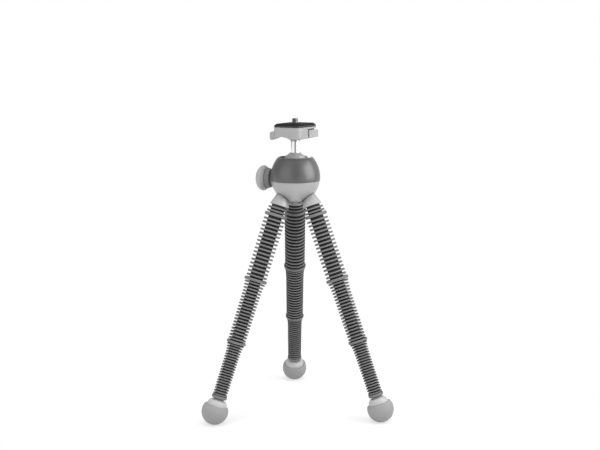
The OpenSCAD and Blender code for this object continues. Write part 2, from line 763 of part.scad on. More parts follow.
// The lobe at the end of the clamp, a short round bar with rounded edges
module lobe() {
    mid_r = lobe_r - lobe_edge;
    rotate_extrude() polygon(concat(
        [[0, 0]],
        arc([mid_r, lobe_edge], lobe_edge, -90, 0),
        arc([mid_r, lobe_h - lobe_edge], lobe_edge, 0, 90),
        [[0, lobe_h]]
    ));
}

module clamp_body() {
    lobe_x = lobe_r - clamp_l / 2 - lobe_out;
    lobe_y = lobe_r - clamp_w / 2 + lobe_back;
    pocket_h = button_low + button_h + button_gap;
    color("darkgray") on_clamp() difference() {
        union() {
            difference() {
                translate([0, 0, clamp_z]) {
                    linear_extrude(clamp_h) polygon(plan());
                    translate([lobe_x, lobe_y, -lobe_drop]) lobe();
                }
                translate([-arch_mid, 0, clamp_z + arch_rise - arch_r]) rotate([90, 0, 0])
                    cylinder(r = arch_r, h = far, center = true);
            }
            translate([0, 0, stem_top]) cylinder(r = stem_boss_r, h = stem_boss_h + arch_rise);
        }
        tongue(front_wall - clamp_w / 2, far, slide_gap);
        translate([pocket_x, button_front - button_slot, clamp_z - over]) cube([far, far, pocket_h + over]);
        translate([0, latch_y, latch_z]) rotate([0, 90, 0]) cylinder(d = latch_d + 2 * slide_gap, h = far);
        translate([spring_foot, latch_y, latch_z]) rotate([0, 90, 0]) cylinder(r = spring_pocket_r, h = far);
        translate([0, 0, stem_top - over]) cylinder(d = clamp_screw_d + 2 * fit_gap, h = far);
        translate([0, 0, screw_seat]) cylinder(d = screw_head_d + 2 * slide_gap, h = far);
    }
}

module clamp_screw() {
    shank = screw_seat - stem_top + clamp_screw_grip;
    color("dimgray") {
        translate([0, 0, screw_seat]) cylinder(d = screw_head_d, h = screw_head_h);
        translate([0, 0, screw_seat - shank]) cylinder(d = clamp_screw_d, h = shank);
    }
}

module release_button() {
    rib_w = button_h / (2 * button_ribs + 1);
    color("lightgray") on_clamp() {
        translate([button_in, button_front, button_z]) cube([button_t, button_w, button_h]);
        for (i = [0:button_ribs - 1])
            translate([button_in + button_t, button_front + button_margin, button_z + rib_w * (2 * i + 1)])
                cube([button_rib_h, button_w - 2 * button_margin, rib_w]);
        translate([latch_tip, latch_y, latch_z]) rotate([0, 90, 0])
            cylinder(d = latch_d, h = button_in - latch_tip);
    }
}

module button_spring() {
    color("silver") on_clamp() translate([spring_foot + fit_gap, latch_y, latch_z]) rotate([0, 90, 0])
        coil(spring_r, spring_wire, spring_turns, button_in - spring_foot - 2 * fit_gap);
}

module release_plate() {
    stop = latch_d / 2 + slide_gap;
    color("dimgray") on_clamp() difference() {
        union() {
            translate([0, 0, flange_z]) linear_extrude(flange_h) polygon(plan());
            tongue(front_wall + slide_gap - clamp_w / 2, clamp_w / 2);
        }
        cylinder(d = thread_d + 2 * slide_gap, h = far * far);
        cylinder(d = head_d + 2 * slide_gap, h = head_recess_z);
        translate([latch_groove, latch_y - plate_travel - stop, latch_z - stop])
            cube([far, plate_travel + 2 * stop, 2 * stop]);
    }
}

module plate_pad() {
    color("black") on_clamp() difference() {
        translate([0, 0, pad_z]) linear_extrude(pad_h) polygon(plan(pad_margin));
        cylinder(d = thread_d + 2 * slide_gap, h = far * far);
    }
}

module camera_screw() {
    color("silver") on_clamp() difference() {
        union() {
            translate([0, 0, head_z]) cylinder(d = head_d, h = head_h);
            translate([0, 0, head_z]) cylinder(d = neck_d, h = pad_top - head_z);
            translate([0, 0, pad_top]) cylinder(d = thread_d, h = thread_l);
        }
        translate([-head_d, -slot_w / 2, head_z - over]) cube([2 * head_d, slot_w, slot_h + over]);
    }
}

hub_casting();
hub_bolt();
lower_bowl();
upper_shell();
ball_seat();
pivot_ball();
stem_post();
brake_shoe();
lock_screw();
knob_grip();
knob_cap();
clamp_body();
clamp_screw();
release_button();
button_spring();
release_plate();
plate_pad();
camera_screw();
for (leg = LEGS) {
    wire_core(leg);
    root_bellows(leg);
    root_sleeve(leg);
    swing_bellows(leg);
    upper_sleeve(leg);
    knee_bellows(leg);
    middle_sleeve(leg);
    side_bellows(leg);
    shin_sleeve(leg);
    ankle_bellows(leg);
    lower_sleeve(leg);
    foot_cap(leg);
    foot_boot(leg);
}
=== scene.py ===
import json
import math

import bmesh
import bpy
from mathutils import Matrix, Vector


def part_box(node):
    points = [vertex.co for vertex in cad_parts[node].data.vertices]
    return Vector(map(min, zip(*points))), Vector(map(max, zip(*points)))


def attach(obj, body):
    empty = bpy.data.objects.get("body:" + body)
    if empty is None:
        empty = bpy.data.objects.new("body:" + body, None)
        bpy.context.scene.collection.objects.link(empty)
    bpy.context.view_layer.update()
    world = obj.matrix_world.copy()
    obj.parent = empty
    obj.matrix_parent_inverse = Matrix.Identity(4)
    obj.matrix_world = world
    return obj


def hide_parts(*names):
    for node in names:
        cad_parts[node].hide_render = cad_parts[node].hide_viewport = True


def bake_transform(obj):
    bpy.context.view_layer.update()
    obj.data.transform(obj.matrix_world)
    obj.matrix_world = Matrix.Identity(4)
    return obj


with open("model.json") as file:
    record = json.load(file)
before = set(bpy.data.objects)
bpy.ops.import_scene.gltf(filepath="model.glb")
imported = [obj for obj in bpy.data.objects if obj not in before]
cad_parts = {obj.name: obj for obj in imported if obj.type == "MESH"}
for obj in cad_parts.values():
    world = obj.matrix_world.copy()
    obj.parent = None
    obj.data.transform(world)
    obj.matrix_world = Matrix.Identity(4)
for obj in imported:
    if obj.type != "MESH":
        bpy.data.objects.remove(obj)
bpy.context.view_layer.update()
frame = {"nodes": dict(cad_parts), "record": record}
nodes = frame["nodes"]
scene = bpy.context.scene
MM = 0.001


def low(node):
    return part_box(node)[0][2] / MM


def high(node):
    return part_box(node)[1][2] / MM


# Legs, in millimetres, with stations measured down the leg from its root ring
LEGS = {"rear": 90, "left": 210, "right": 330}
SPLAY = math.radians(20.7)
ROOT_R = 23.5
NECK = 10.8
ROOT_STEP = 5.1
UPPER = 68.4
MIDDLE = 65.7
LOWER = 57.2
END_STEP = 2.3
WIRE_R = 2.8
WIRE_GRIP = 6.4
FOOT_DROP = 15.0
FOOT_R = 13.5
LIP_UP = 6.0
CAP_R = 10.3
COLLAR_1 = UPPER
COLLAR_2 = COLLAR_1 + MIDDLE
COLLAR_3 = COLLAR_2 + LOWER
LEG_END = COLLAR_3 + END_STEP
FOOT_T = COLLAR_3 + FOOT_DROP
LIP_T = FOOT_T - LIP_UP
ROOT_Z = FOOT_R + FOOT_T * math.cos(SPLAY)

# Ribs by diameter, thickness and number, rings by radius and thickness, and the skin's core between them
NECK_RIB_D = 18.8
UPPER_RIB_D = 21.7
MIDDLE_RIB_D = 18.7
LOWER_RIB_D = 15.1
UPPER_RIB_H = 1.9
MIDDLE_RIB_H = 1.6
LOWER_RIB_H = 1.3
NECK_STEPS = 3
UPPER_RIBS = 16
MIDDLE_RIBS = 19
LOWER_RIBS = 20
UPPER_PITCH = (UPPER - ROOT_STEP) / UPPER_RIBS
MIDDLE_PITCH = MIDDLE / (MIDDLE_RIBS + 1)
LOWER_PITCH = LOWER / (LOWER_RIBS + 1)
RIB_TAPER = 0.8
FLARE = 1.1
FLARE_FALL = 0.45
ROOT_RING = 11.5, 3.2
UPPER_COLLAR = 11.7, 3.0
LOWER_COLLAR = 9.95, 2.6
END_COLLAR = 7.8, 3.4
UPPER_CORE_R = 7.0
MIDDLE_CORE_R = 5.85
LOWER_CORE_R = 5.15

# Head, in millimetres. Heights ending in _UP are above the seam, and CONE_UP above the ball's middle
SOCKET_R = 9.8
SOCKET_IN = 0.7
SOCKET_LEN = 11.6
PLUG_R = 8.0
PLUG_UNDER = 1.0
SHELL_R = 25.3
SEAM_STEP = 0.3
SEAM_GAP = 0.02
BULGE_UP = 3.0
BOWL_R = SHELL_R - SEAM_STEP
BOWL_DEPTH = 23.0
BOWL_FLOOR = 21.2
LOW_DEPTH = BOWL_DEPTH + BULGE_UP
SEAM_TURN = math.degrees(math.asin(BULGE_UP / LOW_DEPTH))
SEAM_SHARE = math.cos(math.radians(SEAM_TURN))
RIM_R = 17.5
MOUTH_R = 16.0
CAVITY_R = 20.2
BALL_UP = 9.4
BALL_R = 17.4
CONE_R = 9.85
CONE_BAND = 1.2
CONE_UP = 19.3
STEM_R = 4.8
STEM_BORE = 2.1
NOTCH_GAP = 1.0
NOTCH_R = STEM_R + NOTCH_GAP
NOTCH_TURN = math.radians(28.5)
SEAM_Z = low("lower_bowl") + BOWL_FLOOR
FLOOR_Z = SEAM_Z - BOWL_FLOOR
PLUG_Z = low("hub_bolt") - PLUG_UNDER
RIM_UP = high("upper_shell") - SEAM_Z
BALL_Z = SEAM_Z + BALL_UP
STEM_TOP = high("stem_post")

# Lock knob, with stations measured out along its axis
KNOB_TURN = math.radians(158.5)
KNOB_UP = 1.4
KNOB_Z = SEAM_Z + KNOB_UP
BOSS_R = 7.5
BOSS_END = 25.8
LOCK_BORE = 3.05
GRIP_IN = 25.9
GRIP_END = 30.4
CAP_IN = 30.9
CAP_MID = 34.6
KNOB_R = 13.0
KNOB_DOME = 7.4

# Clamp, with +X towards the button
CLAMP_TURN = math.radians(-33.5)
CLAMP_X = 15.0
CLAMP_Y = 18.0
CORNERS = [3, 7, 3, 3]
CLAMP_H = 11.8
CHANNEL_H = 7.4
CLAMP_TOP = high("clamp_body")
CLAMP_Z = CLAMP_TOP - CLAMP_H
CHANNEL_Z = CLAMP_TOP - CHANNEL_H
PAD_Z = low("plate_pad")
PAD_TOP = high("plate_pad")
BUTTON_IN = 13.3
BUTTON_OUT = 15.1
BUTTON_FRONT = 3.0
BUTTON_BACK = 20.4
BUTTON_SLOT = 2.4
BUTTON_LOW = CLAMP_Z + 0.6
BUTTON_HIGH = CLAMP_Z + 8.4
LATCH_Y = (BUTTON_FRONT + BUTTON_BACK) / 2
LATCH_Z = CHANNEL_Z + 2.1
POCKET_X = 11.8
SPRING_FOOT = 10.4

# Places of the knob, clamp, latch and leg frames
upright = Matrix.Identity(4)
knob_place = (Matrix.Rotation(KNOB_TURN, 4, "Z") @ Matrix.Translation((0, 0, KNOB_Z))
              @ Matrix.Rotation(math.pi / 2, 4, "Y"))
clamp_place = Matrix.Rotation(CLAMP_TURN, 4, "Z")
latch_place = (clamp_place @ Matrix.Translation((0, LATCH_Y, LATCH_Z))
               @ Matrix.Rotation(math.pi / 2, 4, "Y"))


def leg_place(deg):
    return (Matrix.Rotation(math.radians(deg), 4, "Z") @ Matrix.Translation((ROOT_R, 0, ROOT_Z))
            @ Matrix.Rotation(math.pi - SPLAY, 4, "Y"))


# Mesh making
SHARP = 35
MIN_ROUND = 0.05
ON_AXIS = 1e-6
FAR = 40


def smooth(mesh, sharp=SHARP):
    mesh.polygons.foreach_set("use_smooth", [True] * len(mesh.polygons))
    mesh.set_sharp_from_angle(angle=math.radians(sharp))


def finish_mesh(name, bm, place, material, sharp=SHARP):
    bmesh.ops.recalc_face_normals(bm, faces=bm.faces)
    mesh = bpy.data.meshes.new(name)
    bm.to_mesh(mesh)
    bm.free()
    mesh.transform(Matrix.Scale(MM, 4) @ place)
    smooth(mesh, sharp)
    mesh.materials.append(material)
    obj = bpy.data.objects.new(name, mesh)
    scene.collection.objects.link(obj)
    return obj


def soften(points, steps=3):
    """Rounds each corner of an open line of (r, z, radius) points."""
    most = 0.49
    out = []
    for i, p in enumerate(points):
        here = Vector(p[:2])
        radius = p[2] if len(p) > 2 else 0
        if radius <= 0 or i in (0, len(points) - 1):
            out.append((here.x, here.y))
            continue
        before = Vector(points[i - 1][:2]) - here
        after = Vector(points[i + 1][:2]) - here
        reach = min(radius, before.length * most, after.length * most)
        a = here + before.normalized() * reach
        b = here + after.normalized() * reach
        for k in range(steps + 1):
            u = k / steps
            q = a * (1 - u) ** 2 + here * 2 * u * (1 - u) + b * u ** 2
            out.append((q.x, q.y))
    return out


def oval(a, b, start, end, steps, mid=(0, 0)):
    """Points on an oval of half width a and half height b, between two angles from its equator."""
    turns = [math.radians(start + (end - start) * i / steps) for i in range(steps + 1)]
    return [(mid[0] + a * math.cos(t), mid[1] + b * math.sin(t)) for t in turns]


def raised(line, z):
    return [(p[0], p[1] + z) for p in line]


def rod_line(r, start, end):
    """The outline of a plain cylinder."""
    return [(0, start), (r, start), (r, end), (0, end)]


def lathe(name, profile, place, material, segs=64, loop=False, ripple=None, sharp=SHARP):
    """Turns a line of (r, z) points about Z. ripple(angle, r, z) may change the radius."""
    bm = bmesh.new()
    rings = []
    for r, z in profile:
        if r < ON_AXIS:
            rings.append([bm.verts.new((0, 0, z))])
            continue
        ring = []
        for i in range(segs):
            a = 2 * math.pi * i / segs
            reach = ripple(a, r, z) if ripple else r
            ring.append(bm.verts.new((reach * math.cos(a), reach * math.sin(a), z)))
        rings.append(ring)
    pairs = list(zip(rings, rings[1:]))
    if loop:
        pairs.append((rings[-1], rings[0]))
    for first, second in pairs:
        if len(first) == 1 and len(second) == 1:
            continue
        for i in range(segs):
            j = (i + 1) % segs
            if len(first) == 1:
                bm.faces.new((first[0], second[j], second[i]))
            elif len(second) == 1:
                bm.faces.new((first[i], first[j], second[0]))
            else:
                bm.faces.new((first[i], first[j], second[j], second[i]))
    return finish_mesh(name, bm, place, material, sharp)


def rounded_outline(x0, y0, x1, y1, radii, inset=0.0, steps=8):
    """A rectangle with its own radius at each corner, front left first, moved in by inset."""
    corners = [(x0, y0, 180), (x1, y0, 270), (x1, y1, 0), (x0, y1, 90)]
    out = []
    for (x, y, start), radius in zip(corners, radii):
        cx = x + radius if x == x0 else x - radius
        cy = y + radius if y == y0 else y - radius
        r = max(radius - inset, MIN_ROUND)
        for k in range(steps + 1):
            a = math.radians(start + 90 * k / steps)
            out.append((cx + r * math.cos(a), cy + r * math.sin(a)))
    return out


def slab(name, outline, levels, place, material):
    """Stacks outline(inset) at each (z, inset) level and closes both ends."""
    bm = bmesh.new()
    rings = [[bm.verts.new((x, y, z)) for x, y in outline(inset)] for z, inset in levels]
    count = len(rings[0])
    for first, second in zip(rings, rings[1:]):
        for i in range(count):
            j = (i + 1) % count
            bm.faces.new((first[i], first[j], second[j], second[i]))
    bm.faces.new(rings[0][::-1])
    bm.faces.new(rings[-1])
    return finish_mesh(name, bm, place, material)


def edge_levels(bottom, top, edge, steps=4):
    """Levels of a slab whose upper and lower edges are rounded."""
    turns = [math.radians(90 * k / steps) for k in range(steps + 1)]
    under = [(bottom + edge * (1 - math.sin(t)), edge * (1 - math.cos(t))) for t in reversed(turns)]
    over = [(top - edge * (1 - math.sin(t)), edge * (1 - math.cos(t))) for t in turns]
    return under + over


def coil(name, radius, wire, turns, start, end, place, material):
    """A wire wound about Z between two stations, as one closed tube."""
    rings, sides, sharp = int(32 * turns), 10, 50
    bm = bmesh.new()
    tube = []
    for i in range(rings + 1):
        a = 2 * math.pi * turns * i / rings
        z = start + wire / 2 + (end - start - wire) * i / rings
        ring = []
        for j in range(sides):
            b = 2 * math.pi * j / sides
            reach = radius + wire / 2 * math.cos(b)
            up = z + wire / 2 * math.sin(b)
            ring.append(bm.verts.new((reach * math.cos(a), reach * math.sin(a), up)))
        tube.append(ring)
    for first, second in zip(tube, tube[1:]):
        for j in range(sides):
            k = (j + 1) % sides
            bm.faces.new((first[j], second[j], second[k], first[k]))
    bm.faces.new(tube[0])
    bm.faces.new(tube[-1][::-1])
    return finish_mesh(name, bm, place, material, sharp)


def box_cutter(name, x0, y0, z0, x1, y1, z1, place):
    def outline(inset):
        return rounded_outline(x0, y0, x1, y1, [MIN_ROUND] * 4, inset, 4)

    return slab(name, outline, [(z0, 0), (z1, 0)], place, M["screw_steel"])


def carve(obj, operation, tools):
    for tool in tools:
        mod = obj.modifiers.new("carve", "BOOLEAN")
        mod.operation = operation
        mod.solver = "EXACT"
        mod.object = tool
    bpy.context.view_layer.update()
    shaped = bpy.data.meshes.new_from_object(obj.evaluated_get(bpy.context.evaluated_depsgraph_get()))
    obj.modifiers.clear()
    obj.data = shaped
    for tool in tools:
        bpy.data.objects.remove(tool)
    smooth(shaped)


def cut(obj, *cutters):
    """Takes the cutters out of obj for good."""
    carve(obj, "DIFFERENCE", cutters)


def join(obj, *others):
    """Makes obj and the others one casting."""
    carve(obj, "UNION", others)


# Shader nodes
AO_SAMPLES = 16
BEVEL_SAMPLES = 8
SPOT_SCALE = 45.0
GRAIN_DEPTH = 0.0004
LINE_DEPTH = 0.0005


def add_node(tree, kind, **inputs):
    """A node whose named inputs are plain values or the outputs of other nodes."""
    node = tree.nodes.new(kind)
    for name, value in inputs.items():
        if isinstance(value, bpy.types.NodeSocket):
            tree.links.new(value, node.inputs[name])
        else:
            node.inputs[name].default_value = value
    return node


def math_node(tree, operation, *values):
    """A math node whose inputs are sockets or plain numbers."""
    node = tree.nodes.new("ShaderNodeMath")
    node.operation = operation
    for socket, value in zip(node.inputs, values):
        if isinstance(value, bpy.types.NodeSocket):
            tree.links.new(value, socket)
        else:
            socket.default_value = value
    return node.outputs[0]


def shader_mix(tree, share, first, second):
    node = add_node(tree, "ShaderNodeMixShader", Fac=share)
    tree.links.new(first, node.inputs[1])
    tree.links.new(second, node.inputs[2])
    return node.outputs[0]


def varied(tree, spots, color, vary):
    """The base colour, a little darker and a little lighter in broad spots."""
    ramp = add_node(tree, "ShaderNodeValToRGB", Fac=spots)
    darker = [c * (1 - vary) for c in color]
    lighter = [min(1.0, c * (1 + vary)) for c in color]
    ramp.color_ramp.elements[0].position = 0.3
    ramp.color_ramp.elements[0].color = (*darker, 1)
    ramp.color_ramp.elements[1].position = 0.7
    ramp.color_ramp.elements[1].color = (*lighter, 1)
    return ramp.outputs["Color"]


def paint_hollow_shade(tree, paint, reach, depth):
    """Painted shade in hollows: the paint darkens towards near black where the surface is closed in within
    reach.
    """
    # Near black, the colour of the painted shade in hollows
    painted_shade_color = (0.004, 0.004, 0.004, 1)
    closed = add_node(tree, "ShaderNodeAmbientOcclusion", Distance=reach)
    closed.samples = AO_SAMPLES
    share = math_node(tree, "POWER", closed.outputs["AO"], depth)
    mix = add_node(tree, "ShaderNodeMix", Factor=share)
    mix.data_type = "RGBA"
    # Sockets for numbers and for colours share their names here, so the colour ones go by number
    mix.inputs[6].default_value = painted_shade_color
    tree.links.new(paint, mix.inputs[7])
    return mix.outputs[2]


def ruled(tree, coords, relief, direction, scale, strength):
    """Fine parallel lines on top of another relief."""
    wave = add_node(tree, "ShaderNodeTexWave", Vector=coords, Scale=scale)
    wave.bands_direction = direction
    return add_node(tree, "ShaderNodeBump", Strength=strength, Distance=LINE_DEPTH,
                    Height=wave.outputs["Fac"], Normal=relief.outputs["Normal"])


def shade(name, color, rough=0.5, metal=0.0, vary=0.12, grain=400.0, bump=0.02, soft=None, pattern=None,
          shine=0.5, hollow_shade=None):
    """A moulded or machined finish: base colour that varies, uneven gloss and a fine surface grain."""
    uneven = 0.06
    mat = bpy.data.materials.new(name)
    mat.use_nodes = True
    tree = mat.node_tree
    shader = tree.nodes["Principled BSDF"]
    shader.inputs["Metallic"].default_value = metal
    shader.inputs["Specular IOR Level"].default_value = shine
    coords = tree.nodes.new("ShaderNodeTexCoord").outputs["Object"]
    spots = add_node(tree, "ShaderNodeTexNoise", Vector=coords, Scale=SPOT_SCALE, Detail=5.0)
    fine = add_node(tree, "ShaderNodeTexNoise", Vector=coords, Scale=grain, Detail=3.0)
    paint = varied(tree, spots.outputs["Fac"], color, vary)
    # Painted shade: the paint darkens where the surface is closed in
    if hollow_shade:
        paint = paint_hollow_shade(tree, paint, *hollow_shade)
    tree.links.new(paint, shader.inputs["Base Color"])
    gloss = add_node(tree, "ShaderNodeMapRange", Value=fine.outputs["Fac"])
    gloss.inputs["To Min"].default_value = max(0.02, rough - uneven)
    gloss.inputs["To Max"].default_value = min(1.0, rough + uneven)
    tree.links.new(gloss.outputs["Result"], shader.inputs["Roughness"])
    relief = add_node(tree, "ShaderNodeBump", Strength=bump, Distance=GRAIN_DEPTH, Height=fine.outputs["Fac"])
    if soft:
        edge = add_node(tree, "ShaderNodeBevel", Radius=soft)
        edge.samples = BEVEL_SAMPLES
        tree.links.new(edge.outputs["Normal"], relief.inputs["Normal"])
    if pattern:
        relief = ruled(tree, coords, relief, *pattern)
    tree.links.new(relief.outputs["Normal"], shader.inputs["Normal"])
    return mat


# Materials
def grey(v, warm=0.0):
    return (v * (1 + warm), v, v * (1 - warm))


# The (reach, depth) pairs paint shade into the leg rubber's grooves, onto the hub near the bowl and into the
# clamp's corners
FINISHES = {
    "leg_rubber": dict(color=grey(0.21), rough=0.7, vary=0.06, grain=1500, bump=0.02, shine=0.2,
                       hollow_shade=(0.004, 1.7)),
    "boot_rubber": dict(color=grey(0.34), rough=0.6, vary=0.04, grain=1400, bump=0.06, shine=0.3),
    "cap_plastic": dict(color=grey(0.52), rough=0.45, vary=0.03, grain=1200, bump=0.04),
    "wire_metal": dict(color=grey(0.6), rough=0.4, metal=1.0, vary=0.05),
    "hub_metal": dict(color=grey(0.47), rough=0.42, metal=0.1, vary=0.04, grain=1500, bump=0.05,
                      hollow_shade=(0.007, 1.2)),
    "bowl_metal": dict(color=grey(0.44), rough=0.38, metal=0.35, vary=0.03, grain=2200, bump=0.06),
    "shell_plastic": dict(color=grey(0.085), rough=0.32, vary=0.05, grain=2500, bump=0.03, soft=0.0003,
                          shine=0.9),
    "ball_metal": dict(color=grey(0.5), rough=0.56, metal=0.5, vary=0.04, grain=1800, bump=0.03),
    "stem_metal": dict(color=grey(0.95), rough=0.13, metal=1.0, vary=0.02, grain=1500, bump=0.01),
    "seat_plastic": dict(color=grey(0.72, 0.02), rough=0.5, vary=0.03),
    "shoe_brass": dict(color=(0.6, 0.46, 0.2), rough=0.35, metal=1.0, vary=0.06),
    "screw_steel": dict(color=grey(0.42), rough=0.32, metal=1.0, vary=0.07, grain=1500),
    "grip_rubber": dict(color=grey(0.22), rough=0.5, vary=0.06, grain=1800, bump=0.08),
    "knob_plastic": dict(color=grey(0.41), rough=0.4, vary=0.04, grain=2200, bump=0.07),
    "clamp_metal": dict(color=grey(0.4), rough=0.45, metal=0.1, vary=0.04, grain=2200, bump=0.05,
                        soft=0.0004, hollow_shade=(0.003, 0.9)),
    "button_plastic": dict(color=grey(0.46), rough=0.45, vary=0.04, grain=1500, bump=0.04, soft=0.0002),
    "plate_metal": dict(color=grey(0.05), rough=0.45, metal=0.4, vary=0.08, grain=2200, bump=0.05,
                        soft=0.0003),
    "pad_rubber": dict(color=grey(0.014), rough=0.75, vary=0.12, grain=1600, bump=0.12, shine=0.2,
                       pattern=("X", 160.0, 0.5)),
}
M = {name: shade(name, **finish) for name, finish in FINISHES.items()}
for part in frame["record"]["subparts"]:
    solid = nodes[part["node"]]
    solid.data.materials.clear()
    solid.data.materials.append(M[part["material_slot"]])


def label(stands_for):
    if stands_for:
        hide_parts(*stands_for)


def put(obj, body, slot, *stands_for):
    """Lets obj ride on one body, in place of the solids named."""
    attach(obj, body)
    label(stands_for)


def put_between(obj, bodies, place, stations, slot, *stands_for):
    """Bakes obj's place into its mesh, in place of the solids named."""
    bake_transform(obj)
    label(stands_for)


# Legs: (station, radius, thickness) of every rib, ring and collar
def neck_ribs():
    grow = (UPPER_RIB_D - NECK_RIB_D) / NECK_STEPS
    return [((k - NECK_STEPS) * NECK / NECK_STEPS, (NECK_RIB_D + grow * k) / 2, UPPER_RIB_H)
            for k in range(1, NECK_STEPS)]


def section(first, count, pitch, d, h, flare=0.0):
    """Ribs that taper towards the foot, the first of them flared up to the collar above."""
    taper = [RIB_TAPER * (0.5 - (k + 1) / count) for k in range(count)]
    return [(first + k * pitch, (d + taper[k]) / 2 + flare * FLARE_FALL ** k, h) for k in range(count)]


RIBS = neck_ribs() + [(0.0, *ROOT_RING)]
RIBS += section(ROOT_STEP, UPPER_RIBS, UPPER_PITCH, UPPER_RIB_D, UPPER_RIB_H)
RIBS += [(COLLAR_1, *UPPER_COLLAR)]
RIBS += section(COLLAR_1 + MIDDLE_PITCH, MIDDLE_RIBS, MIDDLE_PITCH, MIDDLE_RIB_D, MIDDLE_RIB_H, FLARE)
RIBS += [(COLLAR_2, *LOWER_COLLAR)]
RIBS += section(COLLAR_2 + LOWER_PITCH, LOWER_RIBS, LOWER_PITCH, LOWER_RIB_D, LOWER_RIB_H, FLARE)
RIBS += [(COLLAR_3, *END_COLLAR)]

# Runs of skin are cut midway between two ribs, and each run crosses one hinge
CUTS = [-NECK, ROOT_STEP + 1.5 * UPPER_PITCH, ROOT_STEP + 10.5 * UPPER_PITCH, COLLAR_1 + 3.5 * MIDDLE_PITCH,
        COLLAR_1 + 13.5 * MIDDLE_PITCH, LEG_END]
# A run's name, its hinge's station, half of the bend, the two bodies and the solids that it stands for
BENDS = [
    ("splay", 0.0, 10.0, "housing", "root", ["root_bellows"]),
    ("swing", ROOT_STEP + 4 * UPPER_PITCH, 9.8, "root", "upper", ["root_sleeve", "swing_bellows"]),
    ("knee", COLLAR_1, 11.0, "upper", "middle", ["upper_sleeve", "knee_bellows"]),
    ("side", COLLAR_1 + 7 * MIDDLE_PITCH, 11.0, "middle", "shin", ["middle_sleeve", "side_bellows"]),
    ("ankle", COLLAR_2, 13.0, "shin", "lower", ["shin_sleeve", "ankle_bellows", "lower_sleeve"]),
]


def core(t):
    return UPPER_CORE_R if t < COLLAR_1 else MIDDLE_CORE_R if t < COLLAR_2 else LOWER_CORE_R


def skin_profile(start, end):
    """Ribs outside, and a bore with rings close enough to bend."""
    bore, ring_gap, foot_round, tip_share = WIRE_R + 0.1, 2.0, 0.35, 0.34
    steps = int((end - start) / ring_gap)
    line = [(bore, start), (core(start), start)]
    for t, r, h in RIBS:
        if start < t < end:
            above, below, tip = t - h / 2, t + h / 2, h * tip_share
            line += [(core(above), above, foot_round), (r, above, tip)]
            line += [(r, below, tip), (core(below), below, foot_round)]
    line += [(core(end), end)]
    line += [(bore, end + (start - end) * k / steps) for k in range(steps)]
    return soften(line, 2)


def wire_profile(start, end):
    ring_gap, edge = 2.5, 0.4
    steps = max(6, int((end - start) / ring_gap))
    sides = [(WIRE_R, start + edge + (end - start - 2 * edge) * k / steps) for k in range(steps + 1)]
    return [(0, start), (WIRE_R - edge, start)] + sides + [(WIRE_R - edge, end), (0, end)]


def leg_body(leg, name):
    return name if name == "housing" else leg + "_" + name


def build_leg(leg, deg):
    place = leg_place(deg)
    for i, (bend, hinge, half, upper, lower, solids) in enumerate(BENDS):
        start, end = CUTS[i], CUTS[i + 1]
        bodies = leg_body(leg, upper), leg_body(leg, lower)
        stations = hinge - half, hinge + half
        line = skin_profile(start, end)
        skin = lathe("%s_%s_skin" % (leg, bend), line, place, M["leg_rubber"], 48, loop=True)
        put_between(skin, bodies, place, stations, "leg_rubber", *[leg + "_" + name for name in solids])
        first, last = i == 0, i == len(BENDS) - 1
        line = wire_profile(-NECK - WIRE_GRIP if first else start, LIP_T if last else end)
        rod = lathe("%s_%s_wire" % (leg, bend), line, place, M["wire_metal"], 24)
        wires = [leg + "_wire_core"] if first else []
        put_between(rod, bodies, place, stations, "wire_metal", *wires)
    build_dome(leg, place)
    build_boot(leg, place)


def build_dome(leg, place):
    """The foot's light cap, a smooth dome that stands in the boot."""
    neck, edge, step, sunk = 5.25, 0.25, 0.6, 1.6
    line = [(0, LEG_END), (neck - edge, LEG_END), (neck, LEG_END + edge)]
    line += oval(CAP_R - neck, LIP_T - LEG_END - step, -90, 0, 15, (neck, LIP_T))
    line += [(CAP_R, LIP_T + sunk), (0, LIP_T + sunk)]
    dome = lathe(leg + "_foot_dome", line, place, M["cap_plastic"], 64)
    put(dome, leg + "_lower", "cap_plastic", leg + "_foot_cap")


def build_boot(leg, place):
    """A rubber ball with a rolled lip round the cap."""
    cup_r, cup_t, lip_top, lip_r, crease_r = CAP_R + 0.04, LIP_T + 1.7, LIP_T - 0.25, 11.6, 12.4
    top = math.degrees(math.asin(LIP_UP / FOOT_R))
    meet = math.radians(top - 7)
    line = [(0, cup_t), (cup_r, cup_t)]
    line += soften([(cup_r, LIP_T + 0.2), (CAP_R + 0.2, lip_top, 0.25), (lip_r, lip_top, 0.6),
                    (crease_r, LIP_T + 0.55, 0.4),
                    (FOOT_R * math.cos(meet), FOOT_T - FOOT_R * math.sin(meet))])
    line += [(r, FOOT_T - z) for r, z in oval(FOOT_R, FOOT_R, top - 10, -89, 30)]
    line += [(0, FOOT_T + FOOT_R)]
    boot = lathe(leg + "_foot_ball", line, place, M["boot_rubber"], 72)
    put(boot, leg + "_lower", "boot_rubber", leg + "_foot_boot")


for leg_name, leg_deg in LEGS.items():
    build_leg(leg_name, leg_deg)


# Hub: three leg sockets that stand just clear of the bowl, arms and the plug under the bowl
def bowl_cutter():
    shadow_gap, top = 0.7, 8
    r = BOWL_R + shadow_gap
    side = oval(r, LOW_DEPTH + shadow_gap, -80, 0, 48, (0, BULGE_UP))
    line = [(0, side[0][1])] + side + [(r, top), (0, top)]
    return lathe("bowl_cutter", raised(line, SEAM_Z), upright, M["hub_metal"], 128)


def build_socket(leg, deg):
    back, waist, lip, floor = -SOCKET_LEN - 1, -7.0, 0.45, -0.25
    back_r, waist_r, mouth_r = 5.6, 7.4, 7.2
    place = leg_place(deg) @ Matrix.Translation((SOCKET_IN, 0, -NECK))
    line = soften([(0, back), (back_r, back, 1.5), (waist_r, waist, 3.0), (SOCKET_R - 0.3, -1.3, 1.0),
                   (SOCKET_R, -0.4, 0.4), (SOCKET_R - 0.2, lip, 0.4), (mouth_r + 0.1, lip, 0.1),
                   (mouth_r, floor, 0.1), (0, floor)], 5)
    socket = lathe(leg + "_socket", line, place, M["hub_metal"], 96)
    cut(socket, bowl_cutter())
    put(socket, "housing", "hub_metal")


